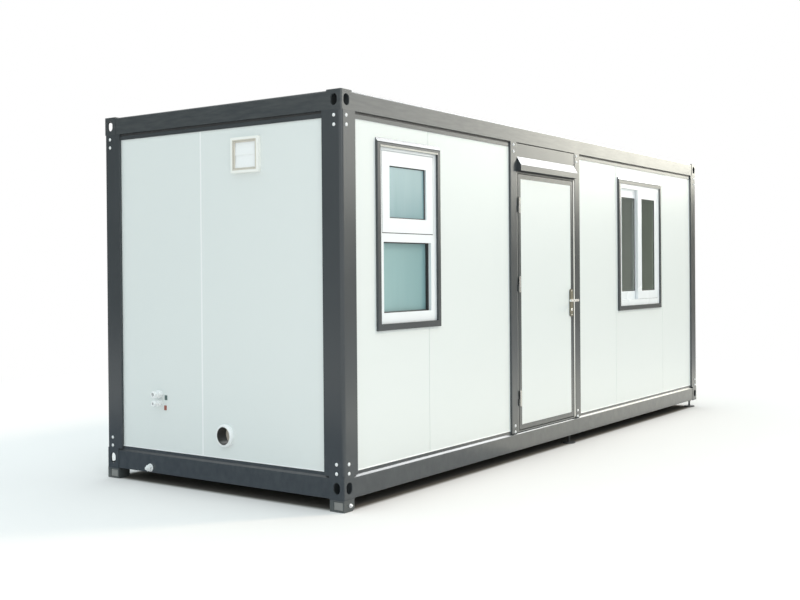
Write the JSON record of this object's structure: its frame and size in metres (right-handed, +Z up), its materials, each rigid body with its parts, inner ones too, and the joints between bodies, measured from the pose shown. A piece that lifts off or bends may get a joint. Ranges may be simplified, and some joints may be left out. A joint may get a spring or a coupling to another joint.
{
  "type": "portable cabin",
  "caption": "Flat-pack portable cabin with a dark grey steel frame, white insulated wall panels, an outward door under a rain hood, and windows beside it.",
  "frame": {"origin": "centre of the cabin's bounding box, at the level of the feet", "axes": "+X along the length, to the right seen from the front; the long front with the door faces -Y; +Z up"},
  "size_m": [6.11, 2.51, 2.8],
  "materials": {
    "frame_paint": "satin dark grey paint",
    "jamb_grey": "satin light grey",
    "wall_white": "satin white coated steel skin",
    "window_white": "smooth white",
    "clear_glass": "clear",
    "frosted_glass": "frosted",
    "bright_steel": "satin",
    "foot_steel": "grey, worn",
    "foot_black": "black",
    "floor_board": "plain board",
    "roof_steel": "zinc coated",
    "vent_cream": "cream",
    "vent_white": "white",
    "pipe_white": "white"
  },
  "bodies": {
    "cabin": {"back_wall": "wall_white", "block_feet": "foot_steel", "bottom_casting_back_left": "frame_paint", "bottom_casting_back_right": "frame_paint", "bottom_casting_front_left": "frame_paint", "bottom_casting_front_right": "frame_paint", "ceiling": "wall_white", "corner_post_back_left": "frame_paint", "corner_post_back_right": "frame_paint", "corner_post_front_left": "frame_paint", "corner_post_front_right": "frame_paint", "door_frame": "jamb_grey", "door_header": "frame_paint", "door_post_left": "frame_paint", "door_post_right": "frame_paint", "drain_stub": "pipe_white", "floor_beams": "frame_paint", "floor_deck": "floor_board", "front_wall_left": "wall_white", "front_wall_right": "wall_white", "hinges": "bright_steel", "left_wall": "wall_white", "left_window_frame": "window_white", "left_window_lower_glass": "frosted_glass", "left_window_surround": "frame_paint", "left_window_upper_glass": "frosted_glass", "rain_hood": "frame_paint", "right_wall": "wall_white", "right_window_frame": "window_white", "right_window_inner_glass": "clear_glass", "right_window_outer_glass": "clear_glass", "right_window_surround": "frame_paint", "roof_beams": "frame_paint", "roof_sheet": "roof_steel", "screw_feet": "foot_black", "top_casting_back_left": "frame_paint", "top_casting_back_right": "frame_paint", "top_casting_front_left": "frame_paint", "top_casting_front_right": "frame_paint", "vent_flap": "vent_white", "vent_frame": "vent_cream", "water_inlets": "pipe_white"},
    "door": {"door_edge": "frame_paint", "door_panel": "wall_white", "door_hinge_leaves": "bright_steel", "lock_plate": "bright_steel"},
    "lever": {"lever": "bright_steel"}
  },
  "joints": [
    {"name": "door_hinge", "type": "hinge", "parent": "cabin", "child": "door", "pos_m": [-0.812, -1.188, 1.3275], "axis": [0, 0, -1], "range_deg": [0, 110]},
    {"name": "lever_turn", "type": "hinge", "parent": "door", "child": "lever", "pos_m": [0.088, -1.2, 1.317], "axis": [0, -1, 0], "range_deg": [0, 40], "stiffness_Nm_per_rad": 2, "springref_deg": -28.65}
  ]
}
